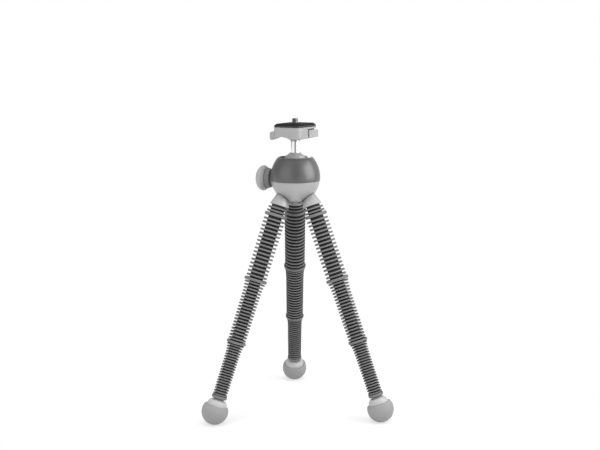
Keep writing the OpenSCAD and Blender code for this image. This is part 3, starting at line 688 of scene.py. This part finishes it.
def build_arm(leg, deg):
    inner, outer, half, corner, edge = 2, 14.5, 4, 1.6, 0.8

    def outline(inset):
        return rounded_outline(inner, -half, outer, half, [corner] * 4, inset, 6)

    levels = edge_levels(PLUG_Z, FLOOR_Z + 2.4, edge)
    place = Matrix.Rotation(math.radians(deg), 4, "Z")
    put(slab(leg + "_arm", outline, levels, place, M["hub_metal"]), "housing", "hub_metal")


def build_plug():
    top, edge = FLOOR_Z + 1.2, 0.8
    line = soften([(0, PLUG_Z), (PLUG_R, PLUG_Z, edge), (PLUG_R, top), (0, top)], 5)
    plug = lathe("hub_plug", line, upright, M["hub_metal"], 64)
    put(plug, "housing", "hub_metal", "hub_casting")


for leg_name, leg_deg in LEGS.items():
    build_socket(leg_name, leg_deg)
    build_arm(leg_name, leg_deg)
build_plug()


# Ball housing
def build_bowl():
    seam_r, inner_r = BOWL_R * SEAM_SHARE, 24.0
    seat_r, seat_z, ledge_r = CAVITY_R + 0.1, -3.2, 17.9
    floor_turn = math.degrees(math.asin((BOWL_FLOOR + BULGE_UP) / LOW_DEPTH))
    line = [(0, -BOWL_FLOOR), (PLUG_R, -BOWL_FLOOR)]
    line += oval(BOWL_R, LOW_DEPTH, 1.5 - floor_turn, -1.6 - SEAM_TURN, 40, (0, BULGE_UP))
    line += soften([(seam_r, -0.6), (seam_r + 0.05, -SEAM_GAP, 0.45), (inner_r, -SEAM_GAP, 0.2),
                    (seat_r, -SEAM_GAP)], 4)
    line += [(seat_r, seat_z), (ledge_r, seat_z)]
    line += oval(CAVITY_R, CAVITY_R, -39, -87, 16, (0, BALL_UP))
    line += [(0, BALL_UP - CAVITY_R)]
    bowl = lathe("bowl_cup", raised(line, SEAM_Z), upright, M["bowl_metal"], 96)
    put(bowl, "housing", "bowl_metal", "lower_bowl")


def build_boss():
    """The knob's boss, with a bore for the lock screw."""
    bore, start = 3.1, 18.0
    line = soften([(bore, start), (BOSS_R, start), (BOSS_R, BOSS_END, 0.5), (bore, BOSS_END)], 4)
    # The boss takes the shell's dark finish, not the bowl's light one: painted shade for the shadowed gap
    # between the grip and the shell
    boss = lathe("lock_boss", line, knob_place, M["shell_plastic"], 48, loop=True)
    put(boss, "housing", "shell_plastic")


def notch_cutter():
    """The slot that takes the stem when the head drops on its side, open down to the seam."""
    start, under = 10, 1
    return box_cutter("notch_cutter", start, -NOTCH_R, SEAM_Z - under, FAR, NOTCH_R, SEAM_Z + FAR,
                      Matrix.Rotation(NOTCH_TURN, 4, "Z"))


def boss_cutter():
    start, gap = 10, 0.1
    line = rod_line(BOSS_R + gap, start, FAR)
    return lathe("boss_cutter", line, knob_place, M["shell_plastic"], 48)


def build_shell():
    seam_r, rise = SHELL_R * SEAM_SHARE, RIM_UP - BULGE_UP
    depth = rise / math.sqrt(1 - (RIM_R / SHELL_R) ** 2)
    rim_turn = math.degrees(math.asin(rise / depth))
    side = oval(SHELL_R, depth, 2, rim_turn - 3.2, 40, (0, BULGE_UP))
    line = soften([(CAVITY_R, SEAM_GAP), (seam_r - 0.05, SEAM_GAP, 0.3), (seam_r + 0.02, 0.4)], 3)
    line += oval(SHELL_R, LOW_DEPTH, 1.5 - SEAM_TURN, 0, 4, (0, BULGE_UP)) + side
    line += soften([side[-1], (RIM_R - 0.1, RIM_UP, 0.9), (MOUTH_R, RIM_UP, 0.6),
                    (MOUTH_R, RIM_UP - 1.3)], 5)
    line += oval(CAVITY_R, CAVITY_R, 36, -26, 20, (0, BALL_UP))
    shell = lathe("shell_dome", raised(line, SEAM_Z), upright, M["shell_plastic"], 128, loop=True)
    cut(shell, notch_cutter(), boss_cutter())
    put(shell, "housing", "shell_plastic", "upper_shell")


build_bowl()
build_boss()
build_shell()


# Ball with its cone, and stem
def build_ball():
    bore, bore_end, neck_up = STEM_R + 0.05, 8.2, 18.9
    band_top = math.sqrt(BALL_R ** 2 - CONE_R ** 2) + CONE_BAND
    line = [(0, -BALL_R)] + oval(BALL_R, BALL_R, -89.5, 55.2, 44)
    line += soften([(CONE_R, 14.4), (CONE_R, band_top, 0.35), (STEM_R + 0.5, neck_up, 0.5),
                    (STEM_R + 0.15, CONE_UP, 0.1), (bore, CONE_UP)], 4)
    line += [(bore, bore_end), (0, bore_end)]
    ball = lathe("ball_cone", raised(line, BALL_Z), upright, M["ball_metal"], 96)
    put(ball, "ball", "ball_metal", "pivot_ball")


def build_stem():
    foot, edge, neck_r, bore_end = BALL_Z + 8.4, 0.4, STEM_R - 0.3, STEM_TOP - 10.8
    line = soften([(0, foot), (STEM_R - edge, foot), (STEM_R, foot + edge), (STEM_R, STEM_TOP - 0.8, 0.2),
                   (neck_r, STEM_TOP - 0.4, 0.2), (neck_r, STEM_TOP), (STEM_BORE, STEM_TOP),
                   (STEM_BORE, bore_end), (0, bore_end)], 3)
    stem = lathe("stem_rod", line, upright, M["stem_metal"], 64)
    put(stem, "platform", "stem_metal", "stem_post")


build_ball()
build_stem()


# Lock knob: fluted grip ring and domed cap
def build_grip():
    flute_count, flute_depth, flute_run = 72, 0.14, 0.8
    inner_r, outer_r, groove_r, smooth_r = 9.7, 10.9, 9.7, 8.0

    def flutes(a, r, z):
        if r < smooth_r or z > GRIP_END - 0.1:
            return r
        wave = 0.5 + 0.5 * math.cos(flute_count * a)
        return r - flute_depth * wave * min(1.0, (z - GRIP_IN) / flute_run)

    line = soften([(LOCK_BORE, GRIP_IN), (inner_r - 0.7, GRIP_IN, 0.3), (inner_r, GRIP_IN + 0.7, 0.4),
                   (outer_r - 0.5, GRIP_END - 1.2), (outer_r, GRIP_END - 0.2, 0.3),
                   (outer_r - 0.4, GRIP_END, 0.1), (groove_r, GRIP_END), (groove_r, CAP_IN),
                   (LOCK_BORE, CAP_IN)], 4)
    ring = lathe("knob_ring", line, knob_place, M["grip_rubber"], 288, loop=True, ripple=flutes)
    put(ring, "lock", "grip_rubber", "knob_grip")


def build_cap():
    skirt_r, edge = 11.1, 0.25
    skirt = CAP_IN + edge
    line = [(LOCK_BORE, CAP_IN), (skirt_r - 0.4, CAP_IN), (skirt_r, skirt)]
    for degrees in range(10, 90, 8):
        swell = (KNOB_R - skirt_r) * math.sin(math.radians(degrees))
        line.append((skirt_r + swell, skirt + (CAP_MID - skirt) * degrees / 90))
    line += oval(KNOB_R, KNOB_DOME, 0, 88, 28, (0, CAP_MID))
    line += [(0, CAP_MID + KNOB_DOME)]
    dome = lathe("knob_dome", line, knob_place, M["knob_plastic"], 96)
    put(dome, "lock", "knob_plastic", "knob_cap")


build_grip()
build_cap()


# Clamp with its lobe, and the boss round the stem
def clamp_outline(inset):
    return rounded_outline(-CLAMP_X, -CLAMP_Y, CLAMP_X, CLAMP_Y, CORNERS, inset)


def clamp_lobe():
    r, h, edge, x, y, drop = 8.0, 8.7, 2.3, -15.3, -9.0, 1.9
    line = [(0, 0)] + oval(edge, edge, -90, 0, 8, (r - edge, edge))
    line += oval(edge, edge, 0, 90, 8, (r - edge, h - edge)) + [(0, h)]
    place = clamp_place @ Matrix.Translation((x, y, CLAMP_Z - drop))
    return lathe("clamp_lobe", line, place, M["clamp_metal"], 96)


def arch_cutter():
    r, mid, rise = 28.0, 6.6, 2.3
    place = (clamp_place @ Matrix.Translation((-mid, 0, CLAMP_Z + rise - r))
             @ Matrix.Rotation(math.pi / 2, 4, "X"))
    return lathe("arch_cutter", rod_line(r, -FAR, FAR), place, M["clamp_metal"], 192)


def channel_cutter():
    """The dovetail channel, open at the back of the clamp."""
    foot, top, low_z, high_z, front = 10.15, 8.15, CHANNEL_Z - 0.15, CLAMP_TOP + 0.2, 15.0
    outline = [(-foot, low_z), (foot, low_z), (top, high_z), (-top, high_z)]
    place = clamp_place @ Matrix.Rotation(math.pi / 2, 4, "X")
    return slab("channel_cutter", lambda inset: outline, [(-FAR, 0), (front, 0)], place, M["clamp_metal"])


def pocket_cutter():
    """The button's pocket, open at the side, back and bottom."""
    under, beyond, over = 5, 30, 1.3
    return box_cutter("pocket_cutter", POCKET_X, BUTTON_FRONT - BUTTON_SLOT, CLAMP_Z - under, beyond, beyond,
                      BUTTON_HIGH + over, clamp_place)


def seat_cutter():
    """The latch pin's hole and the wider hole for its spring."""
    pin_r, spring_r, start, end = 1.65, 2.65, 8, 30
    line = [(0, start), (pin_r, start), (pin_r, SPRING_FOOT), (spring_r, SPRING_FOOT), (spring_r, end),
            (0, end)]
    return lathe("seat_cutter", line, latch_place, M["clamp_metal"], 32)


def head_cutter():
    """The recess for the head of the clamp's screw."""
    r, floor, beyond = 4.15, CLAMP_Z + 1.85, 5
    line = rod_line(r, floor, CLAMP_TOP + beyond)
    return lathe("head_cutter", line, clamp_place, M["clamp_metal"], 48)


def build_clamp():
    levels = edge_levels(CLAMP_Z, CLAMP_TOP, 0.6)
    body = slab("clamp_block", clamp_outline, levels, clamp_place, M["clamp_metal"])
    join(body, clamp_lobe())
    cut(body, arch_cutter(), channel_cutter(), pocket_cutter(), seat_cutter(), head_cutter())
    put(body, "platform", "clamp_metal", "clamp_body")


def build_stem_boss():
    r, head_r, floor, top = 5.4, 4.3, CLAMP_Z + 1.8, CLAMP_Z + 2.7
    line = soften([(STEM_BORE, STEM_TOP), (r - 0.2, STEM_TOP, 0.2), (r, STEM_TOP + 0.4, 0.2),
                   (r, CLAMP_Z + 0.4, 0.8), (r + 0.4, top), (head_r, top), (head_r, floor),
                   (STEM_BORE, floor)], 5)
    boss = lathe("stem_boss", line, upright, M["clamp_metal"], 64, loop=True)
    put(boss, "platform", "clamp_metal")


build_clamp()
build_stem_boss()


# Release button with its ribs, latch pin and spring. The face is drawn in Y and Z and stacked along X
button_place = clamp_place @ Matrix(((0, 0, 1, 0), (1, 0, 0, 0), (0, 1, 0, 0), (0, 0, 0, 1)))


def build_button():
    corner, edge = 1.3, 0.35

    def face(inset):
        return rounded_outline(BUTTON_FRONT, BUTTON_LOW, BUTTON_BACK, BUTTON_HIGH, [corner] * 4, inset, 6)

    levels = edge_levels(BUTTON_IN, BUTTON_OUT, edge)
    plate = slab("button_face", face, levels, button_place, M["button_plastic"])
    put(plate, "button", "button_plastic", "release_button")


def build_button_ribs():
    count, end_gap, corner = 4, 2, 0.4
    height = (BUTTON_HIGH - BUTTON_LOW) / (2 * count + 1)
    levels = [(BUTTON_OUT - 0.2, 0), (BUTTON_OUT + 0.2, 0), (BUTTON_OUT + 0.4, 0.25)]
    for i in range(count):
        base = BUTTON_LOW + height * (2 * i + 1)

        def bar(inset):
            return rounded_outline(BUTTON_FRONT + end_gap, base, BUTTON_BACK - end_gap, base + height,
                                   [corner] * 4, inset, 4)

        rib = slab("button_rib_%d" % i, bar, levels, button_place, M["button_plastic"])
        put(rib, "button", "button_plastic")


def build_latch():
    pin_r, tip, tip_len, root = 1.5, 8.9, 0.4, BUTTON_IN + 0.2
    line = soften([(0, tip), (pin_r - 0.3, tip, 0.2), (pin_r, tip + tip_len, 0.2), (pin_r, root),
                   (0, root)], 3)
    put(lathe("latch_pin", line, latch_place, M["button_plastic"], 32), "button", "button_plastic")


def build_spring():
    radius, wire, turns, end_gap = 2.15, 0.5, 2.5, 0.05
    spring = coil("return_spring", radius, wire, turns, SPRING_FOOT + end_gap, BUTTON_IN - end_gap,
                  latch_place, M["screw_steel"])
    put_between(spring, ("platform", "button"), latch_place, (SPRING_FOOT, BUTTON_IN), "screw_steel",
                "button_spring")


build_button()
build_button_ribs()
build_latch()
build_spring()


# Pad and camera screw
def build_pad():
    inside, hole_r = 0.4, 3.4
    half_x, half_y = CLAMP_X - inside, CLAMP_Y - inside

    def outline(inset):
        return rounded_outline(-half_x, -half_y, half_x, half_y, CORNERS, inset)

    levels = [(PAD_Z, 0.0), (PAD_Z + 0.25, 0.0), (PAD_Z + 0.5, 0.25), (PAD_TOP - 0.25, 1.7), (PAD_TOP, 2.3)]
    pad = slab("pad_sheet", outline, levels, clamp_place, M["pad_rubber"])
    hole = rod_line(hole_r, PAD_Z - 2, PAD_TOP + 2)
    cut(pad, lathe("pad_hole", hole, clamp_place, M["pad_rubber"], 48))
    put(pad, "plate", "pad_rubber", "plate_pad")


def build_screw():
    """A turned screw with a true helical thread above the pad."""
    pitch, thread_r, thread_len, thread_depth, rings = 1.27, 3.175, 5.0, 0.55, 42
    shank_r, tip_r, head_r, head_edge, slot_half, slot_end = 2.6, 2.95, 6.3, 0.4, 0.6, 8
    head = CHANNEL_Z + 0.9
    head_top = head + 2.6
    top = PAD_TOP + thread_len

    def helix(a, r, z):
        if r < thread_r or z < PAD_TOP:
            return r
        phase = ((z - PAD_TOP) / pitch - a / (2 * math.pi)) % 1.0
        return r - thread_depth * abs(2 * phase - 1)

    line = soften([(0, head), (head_r - head_edge, head), (head_r, head + head_edge),
                   (head_r, head_top, 0.2), (shank_r, head_top)], 3)
    line += [(shank_r, PAD_TOP - 0.05)]
    line += [(thread_r, PAD_TOP + (thread_len - 0.45) * k / rings) for k in range(rings + 1)]
    line += [(tip_r, top - 0.2), (shank_r, top), (0, top)]
    screw = lathe("screw_threaded", line, clamp_place, M["screw_steel"], 48, ripple=helix, sharp=60)
    cut(screw, box_cutter("slot_cutter", -slot_end, -slot_half, head - 1, slot_end, slot_half, head + 1,
                          clamp_place))
    put(screw, "camera_screw", "screw_steel", "camera_screw")


build_pad()
build_screw()


# Floor, light and camera, in metres
def seen_rays(tree):
    """One for rays that show a surface, straight, mirrored or through glass, and nought for its light."""
    path = tree.nodes.new("ShaderNodeLightPath")
    mirrored = math_node(tree, "MAXIMUM", path.outputs["Is Glossy Ray"], path.outputs["Is Transmission Ray"])
    return math_node(tree, "MAXIMUM", path.outputs["Is Camera Ray"], mirrored)


def floor_paint():
    """White that shows the object's shadow near the feet and fades to pure white farther off."""
    fade_start, fade_end = 0.13, 0.3
    mat = bpy.data.materials.new("floor_white")
    mat.use_nodes = True
    tree = mat.node_tree
    tree.nodes.clear()
    out = tree.nodes.new("ShaderNodeOutputMaterial")
    bounce = add_node(tree, "ShaderNodeBsdfDiffuse", Color=(0.8, 0.8, 0.8, 1))
    paint = add_node(tree, "ShaderNodeBsdfDiffuse", Color=(0.5, 0.5, 0.5, 1))
    near_glow = add_node(tree, "ShaderNodeEmission", Strength=0.58)
    far_glow = add_node(tree, "ShaderNodeEmission", Strength=1.0)
    near = tree.nodes.new("ShaderNodeAddShader")
    tree.links.new(paint.outputs[0], near.inputs[0])
    tree.links.new(near_glow.outputs[0], near.inputs[1])
    coords = tree.nodes.new("ShaderNodeTexCoord")
    length = tree.nodes.new("ShaderNodeVectorMath")
    length.operation = "LENGTH"
    tree.links.new(coords.outputs["Object"], length.inputs[0])
    fade = add_node(tree, "ShaderNodeMapRange", Value=length.outputs["Value"])
    fade.interpolation_type = "SMOOTHSTEP"
    fade.inputs["From Min"].default_value = fade_start
    fade.inputs["From Max"].default_value = fade_end
    shown = shader_mix(tree, fade.outputs["Result"], near.outputs[0], far_glow.outputs[0])
    tree.links.new(shader_mix(tree, seen_rays(tree), bounce.outputs[0], shown), out.inputs["Surface"])
    return mat


def build_floor():
    side, front, back = 6, -3, 9
    corners = [(-side, front, 0), (side, front, 0), (side, back, 0), (-side, back, 0)]
    mesh = bpy.data.meshes.new("floor")
    mesh.from_pydata(corners, [], [(0, 1, 2, 3)])
    floor = bpy.data.objects.new("floor", mesh)
    scene.collection.objects.link(floor)
    mesh.materials.append(floor_paint())


def wall_color(tree, way):
    """White walls with greyer gaps, by the angle round the object from the camera's side."""
    gap, back = 0.3, 0.8
    stops = [(-158, 1.0), (-146, gap), (-86, gap), (-74, 1.0), (-28, 1.0), (-16, gap), (16, gap), (28, 1.0),
             (95, 1.0), (105, back)]
    front = math_node(tree, "MULTIPLY", way["Y"], -1.0)
    turn = math_node(tree, "ARCTAN2", way["X"], front)
    share = math_node(tree, "MULTIPLY_ADD", turn, 0.5 / math.pi, 0.5)
    ramp = add_node(tree, "ShaderNodeValToRGB", Fac=share)
    while len(ramp.color_ramp.elements) < len(stops):
        ramp.color_ramp.elements.new(0.5)
    for element, (degrees, value) in zip(ramp.color_ramp.elements, stops):
        element.position = degrees / 360 + 0.5
        element.color = (value, value, value, 1)
    return ramp.outputs["Color"]


def wall_strength(tree, way):
    """Walls that fall off towards the ceiling."""
    height = add_node(tree, "ShaderNodeMapRange", Value=way["Z"])
    limits = {"From Min": 0.45, "From Max": 0.85, "To Min": 1.0, "To Max": 0.3}
    for name, limit in limits.items():
        height.inputs[name].default_value = limit
    return height.outputs["Result"]


def build_world():
    """Even light from all round, seen as white walls with greyer gaps between the studio's softboxes."""
    world = bpy.data.worlds.new("studio")
    scene.world = world
    world.use_nodes = True
    tree = world.node_tree
    tree.nodes.clear()
    out = tree.nodes.new("ShaderNodeOutputWorld")
    coords = tree.nodes.new("ShaderNodeTexCoord")
    way = add_node(tree, "ShaderNodeSeparateXYZ", Vector=coords.outputs["Generated"]).outputs
    light = add_node(tree, "ShaderNodeBackground", Strength=0.42)
    white = add_node(tree, "ShaderNodeBackground", Strength=1.0, Color=(1, 1, 1, 1))
    walls = add_node(tree, "ShaderNodeBackground", Strength=wall_strength(tree, way),
                     Color=wall_color(tree, way))
    path = tree.nodes.new("ShaderNodeLightPath")
    straight = math_node(tree, "MAXIMUM", path.outputs["Is Camera Ray"], path.outputs["Is Transmission Ray"])
    mirrored = shader_mix(tree, path.outputs["Is Glossy Ray"], light.outputs[0], walls.outputs[0])
    tree.links.new(shader_mix(tree, straight, mirrored, white.outputs[0]), out.inputs["Surface"])


def lamp(name, turn, lift, away, size, power, mirrored):
    """A softbox that faces the head's foot, at an angle from the camera's side and above the floor."""
    target = Vector((0, 0, 0.18))
    a, b = math.radians(turn), math.radians(lift)
    place = target + away * Vector((math.sin(a) * math.cos(b), -math.cos(a) * math.cos(b), math.sin(b)))
    light = bpy.data.lights.new(name, "AREA")
    light.shape = "RECTANGLE"
    light.size, light.size_y = size
    light.energy = power
    obj = bpy.data.objects.new(name, light)
    scene.collection.objects.link(obj)
    obj.location = place
    obj.rotation_euler = (target - place).to_track_quat("-Z", "Y").to_euler()
    obj.visible_glossy = mirrored


def build_camera():
    """The photograph's view, fitted to the feet, the collars and the head."""
    turn, pitch, roll = -1.58, 9.44, -0.3
    orbit, stand = -1.54, Vector((0.0037, -1.0652, 0.3716))
    focal_pixels, picture_width = 1053.1, 600
    camera = bpy.data.cameras.new("camera")
    camera.sensor_width = 36.0
    camera.lens = focal_pixels / picture_width * camera.sensor_width
    view = bpy.data.objects.new("camera", camera)
    scene.collection.objects.link(view)
    place = Matrix.Rotation(math.radians(orbit), 4, "Z") @ stand
    aim = (Matrix.Rotation(math.radians(turn), 4, "Z") @ Matrix.Rotation(math.radians(90 - pitch), 4, "X")
           @ Matrix.Rotation(math.radians(roll), 4, "Z"))
    view.matrix_world = Matrix.Translation(place) @ aim
    scene.camera = view


build_floor()
build_world()
lamp("right_box", turn=72, lift=22, away=1.0, size=(0.85, 0.9), power=7.6, mirrored=True)
lamp("left_box", turn=-45, lift=24, away=1.15, size=(0.9, 0.9), power=5.8, mirrored=False)
lamp("top_box", turn=0, lift=84, away=1.1, size=(1.1, 0.9), power=7.0, mirrored=False)
build_camera()
scene.view_settings.view_transform = "Standard"
